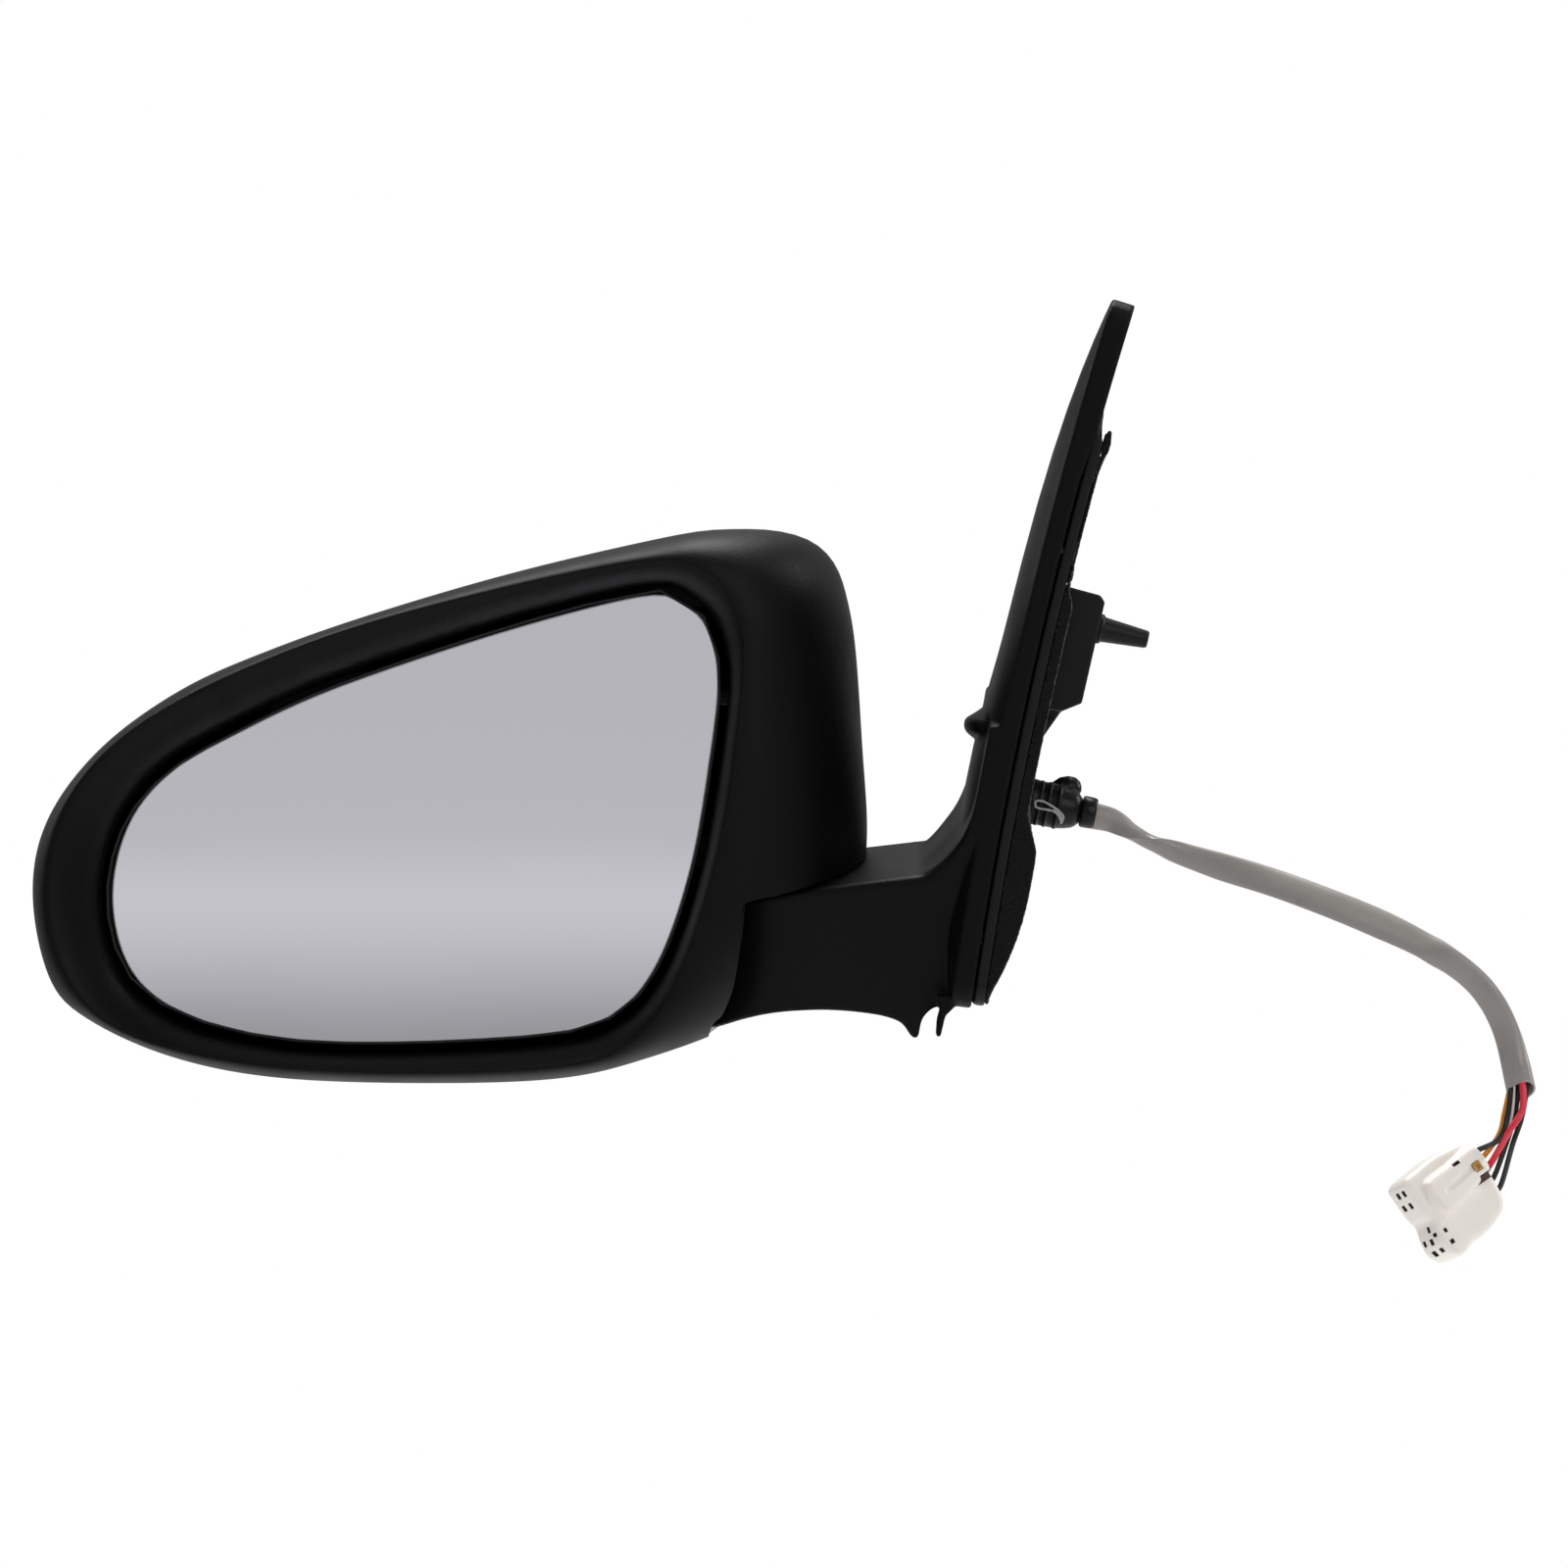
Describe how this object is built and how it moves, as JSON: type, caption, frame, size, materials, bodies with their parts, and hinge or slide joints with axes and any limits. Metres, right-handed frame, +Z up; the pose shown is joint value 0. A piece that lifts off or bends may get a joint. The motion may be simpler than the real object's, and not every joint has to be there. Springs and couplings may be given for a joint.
{
  "type": "car door side mirror",
  "caption": "Left door side mirror: leaning sail base and arm, manually folding head, heated glass aimed by two screw jacks, harness with plug.",
  "frame": {"origin": "middle of the flat end of the cast mounting block, where it meets the door", "axes": "+Z up, -Y rearward (the way the glass faces), +X inboard towards the door, -X outboard"},
  "size_m": [0.4609, 0.1184, 0.2926],
  "materials": {
    "satin_black_plastic": "satin, fine grain",
    "die_cast_zinc": "as cast, dull grey",
    "foam": "matt",
    "glass_filled_nylon": "matt",
    "zinc_plated_steel": "plated",
    "acetal": "satin",
    "brass": "turned",
    "mirror_glass": "polished",
    "heater_film": "film",
    "rubber": "matt",
    "sleeve_vinyl": "satin",
    "connector_shell": "natural, slightly milky",
    "wire_orange": "satin",
    "wire_white": "satin",
    "wire_red": "satin",
    "wire_black": "satin"
  },
  "bodies": {
    "base": {"base_plate": "die_cast_zinc", "door_gasket": "foam", "sail_cover": "satin_black_plastic", "arm_lower_cover": "satin_black_plastic", "arm_casting": "die_cast_zinc", "locating_pin": "glass_filled_nylon", "mount_insert_1": "zinc_plated_steel", "mount_insert_2": "zinc_plated_steel", "mount_insert_3": "zinc_plated_steel", "arm_screw_1": "zinc_plated_steel", "arm_screw_2": "zinc_plated_steel", "cover_screw_1": "zinc_plated_steel", "cover_screw_2": "zinc_plated_steel", "pivot_shaft": "zinc_plated_steel", "detent_ring_fixed": "glass_filled_nylon", "retaining_ring": "zinc_plated_steel", "harness_grommet": "rubber", "harness_clip": "acetal", "harness_arm": "sleeve_vinyl", "sleeve_collar": "rubber", "cable_sleeve": "sleeve_vinyl", "connector_body": "connector_shell", "connector_retainer": "connector_shell", "wire_orange": "wire_orange", "wire_white": "wire_white", "wire_black_1": "wire_black", "wire_black_2": "wire_black", "wire_black_3": "wire_black", "wire_red": "wire_red"},
    "head": {"head_frame": "glass_filled_nylon", "detent_ring_moving": "glass_filled_nylon", "fold_spring": "zinc_plated_steel", "bezel": "satin_black_plastic", "front_cap": "satin_black_plastic", "frame_screw_1": "zinc_plated_steel", "frame_screw_2": "zinc_plated_steel", "frame_screw_3": "zinc_plated_steel", "actuator_case_back": "glass_filled_nylon", "actuator_case_front": "glass_filled_nylon", "actuator_screw_1": "zinc_plated_steel", "actuator_screw_2": "zinc_plated_steel", "actuator_screw_3": "zinc_plated_steel", "pan_motor": "zinc_plated_steel", "tilt_motor": "zinc_plated_steel", "harness_head": "sleeve_vinyl", "pan_pin_upper": "zinc_plated_steel", "pan_pin_lower": "zinc_plated_steel"},
    "pan_plunger_body": {"pan_plunger": "acetal"},
    "tilt_plunger_body": {"tilt_plunger": "acetal"},
    "pan_gear_body": {"pan_gear": "acetal"},
    "tilt_gear_body": {"tilt_gear": "acetal"},
    "pan_worm_body": {"pan_worm": "brass"},
    "tilt_worm_body": {"tilt_worm": "brass"},
    "gimbal": {"gimbal_ring": "glass_filled_nylon", "tilt_pin_inboard": "zinc_plated_steel", "tilt_pin_outboard": "zinc_plated_steel"},
    "glass": {"glass_holder": "glass_filled_nylon", "heater_pad": "heater_film", "heater_terminal": "brass", "mirror_glass": "mirror_glass"}
  },
  "joints": [
    {"name": "head_fold", "type": "hinge", "parent": "base", "child": "head", "pos_m": [-0.094, -0.003, -0.068], "axis": [-0.1265, -0.1945, 0.9727], "range_deg": [-40, 50]},
    {"name": "glass_pan", "type": "hinge", "parent": "head", "child": "gimbal", "pos_m": [-0.207, -0.017, -0.051], "axis": [0, 0, 1], "range_deg": [-7.5, 7.5]},
    {"name": "glass_tilt", "type": "hinge", "parent": "gimbal", "child": "glass", "pos_m": [-0.207, -0.017, -0.051], "axis": [1, 0, 0], "range_deg": [-7.5, 7.5]},
    {"name": "pan_plunger_travel", "type": "slide", "parent": "head", "child": "pan_plunger_body", "axis": [0, 1, 0], "range_m": [-0.00449, 0.00449]},
    {"name": "tilt_plunger_travel", "type": "slide", "parent": "head", "child": "tilt_plunger_body", "axis": [0, 1, 0], "range_m": [-0.00449, 0.00449]},
    {"name": "pan_gear_turn", "type": "hinge", "parent": "head", "child": "pan_gear_body", "pos_m": [-0.175, 0.0035, -0.051], "axis": [0, 1, 0], "range_deg": [-256.3, 256.3]},
    {"name": "tilt_gear_turn", "type": "hinge", "parent": "head", "child": "tilt_gear_body", "pos_m": [-0.207, 0.0035, -0.083], "axis": [0, 1, 0], "range_deg": [-256.3, 256.3]},
    {"name": "pan_worm_turn", "type": "hinge", "parent": "head", "child": "pan_worm_body", "pos_m": [-0.1886, 0.0035, -0.051], "axis": [0, 0, 1], "range_deg": [-4041.2, 4041.2]},
    {"name": "tilt_worm_turn", "type": "hinge", "parent": "head", "child": "tilt_worm_body", "pos_m": [-0.207, 0.0035, -0.0694], "axis": [1, 0, 0], "range_deg": [-4041.2, 4041.2]}
  ],
  "couplings": [
    {"joint": "pan_plunger_travel", "follows": "glass_pan", "m_per_rad": 0.032},
    {"joint": "tilt_plunger_travel", "follows": "glass_tilt", "m_per_rad": 0.032},
    {"joint": "pan_gear_turn", "follows": "glass_pan", "ratio": 33.51},
    {"joint": "tilt_gear_turn", "follows": "glass_tilt", "ratio": 33.51},
    {"joint": "pan_worm_turn", "follows": "glass_pan", "ratio": 536.16},
    {"joint": "tilt_worm_turn", "follows": "glass_tilt", "ratio": 536.16}
  ]
}
